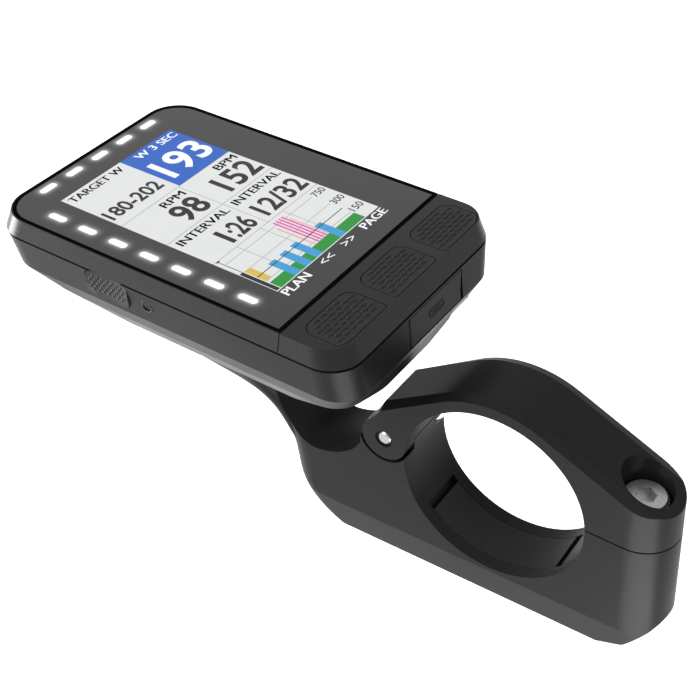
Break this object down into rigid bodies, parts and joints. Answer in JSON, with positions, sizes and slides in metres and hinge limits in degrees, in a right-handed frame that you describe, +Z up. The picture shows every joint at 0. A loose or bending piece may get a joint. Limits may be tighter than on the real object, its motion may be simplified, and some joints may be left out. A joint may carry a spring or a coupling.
{
  "type": "cycling computer",
  "caption": "Cycling computer with a glass display and light strips, locked by a quarter turn to an out-front mount with a hinged handlebar clamp.",
  "frame": {"origin": "centre of the handlebar bore, midway across the clamp", "axes": "+X along the handlebar to the rider's right, +Y forward in the riding direction, +Z up"},
  "size_m": [0.0452, 0.1151, 0.0546],
  "materials": {
    "cover_glass": "polished black-printed cover glass",
    "light_pipe": "clear white, glossy",
    "satin_case": "satin moulded black",
    "matte_case": "fine matte moulded black",
    "key_rubber": "textured soft-touch dark grey",
    "flap_rubber": "matte black rubber",
    "seal_rubber": "matte",
    "steel": "bright",
    "black_steel": "black oxide",
    "adhesive": "matte foam tape",
    "display": "backlit display",
    "tray_metal": "satin",
    "circuit_board": "green solder mask",
    "switch_metal": "bright stamped metal",
    "chip_black": "moulded epoxy",
    "ceramic": "fired ceramic",
    "battery_wrap": "foil wrap",
    "mount_nylon": "fine matte moulded nylon",
    "insert_brass": "turned",
    "liner_rubber": "matte",
    "bolt_steel": "grey coated steel"
  },
  "bodies": {
    "mount": {"mount_arm": "mount_nylon", "socket_ring": "mount_nylon", "socket_screws": "black_steel", "threaded_insert": "insert_brass", "bar_liner": "liner_rubber", "hinge_pin": "steel"},
    "jaw": {"upper_jaw": "mount_nylon", "bolt_washer": "steel"},
    "computer": {"back_cover": "matte_case", "battery": "battery_wrap", "board_posts": "steel", "boss_screws": "steel", "button_bezel": "satin_case", "buzzer": "chip_black", "case_screws": "black_steel", "display_gasket": "adhesive", "display_panel": "display", "display_tray": "tray_metal", "front_bezel": "satin_case", "glass_lens": "cover_glass", "housing_seal": "seal_rubber", "key_switches": "switch_metal", "lanyard_bar": "steel", "led_board": "circuit_board", "led_chips": "light_pipe", "light_guides": "light_pipe", "main_board": "circuit_board", "mid_housing": "matte_case", "processor": "chip_black", "satellite_antenna": "ceramic", "shield_can": "switch_metal", "side_switches": "switch_metal", "twist_boss": "mount_nylon", "usb_socket": "switch_metal"},
    "front_key_left": {"key_left": "key_rubber"},
    "front_key_centre": {"key_centre": "key_rubber"},
    "front_key_right": {"key_right": "key_rubber"},
    "power_key": {"power_button": "key_rubber"},
    "up_key": {"up_button": "key_rubber"},
    "down_key": {"down_button": "key_rubber"},
    "port_flap": {"usb_cover": "flap_rubber"},
    "bolt": {"clamp_bolt": "bolt_steel"}
  },
  "joints": [
    {"name": "jaw_hinge", "type": "hinge", "parent": "mount", "child": "jaw", "pos_m": [0, 0.0199, 0.0019], "axis": [-1, 0, 0], "range_deg": [0, 20]},
    {"name": "bolt_unscrew", "type": "slide", "parent": "jaw", "child": "bolt", "axis": [0, 0, 1], "range_m": [0, 0.006]},
    {"name": "quarter_turn", "type": "hinge", "parent": "mount", "child": "computer", "pos_m": [0, 0.05095, 0.0136], "axis": [0, 0, 1], "range_deg": [0, 90]},
    {"name": "key_left_press", "type": "slide", "parent": "computer", "child": "front_key_left", "axis": [0, 0, -1], "range_m": [0, 0.0005], "stiffness_N_per_m": 2000},
    {"name": "key_centre_press", "type": "slide", "parent": "computer", "child": "front_key_centre", "axis": [0, 0, -1], "range_m": [0, 0.0005], "stiffness_N_per_m": 2000},
    {"name": "key_right_press", "type": "slide", "parent": "computer", "child": "front_key_right", "axis": [0, 0, -1], "range_m": [0, 0.0005], "stiffness_N_per_m": 2000},
    {"name": "power_button_press", "type": "slide", "parent": "computer", "child": "power_key", "axis": [1, 0, 0], "range_m": [0, 0.0005], "stiffness_N_per_m": 2000},
    {"name": "up_button_press", "type": "slide", "parent": "computer", "child": "up_key", "axis": [-1, 0, 0], "range_m": [0, 0.0005], "stiffness_N_per_m": 2000},
    {"name": "down_button_press", "type": "slide", "parent": "computer", "child": "down_key", "axis": [-1, 0, 0], "range_m": [0, 0.0005], "stiffness_N_per_m": 2000},
    {"name": "flap_hinge", "type": "hinge", "parent": "computer", "child": "port_flap", "pos_m": [0.01005, 0.01707, 0.02405], "axis": [0, 0, 1], "range_deg": [0, 75]}
  ]
}
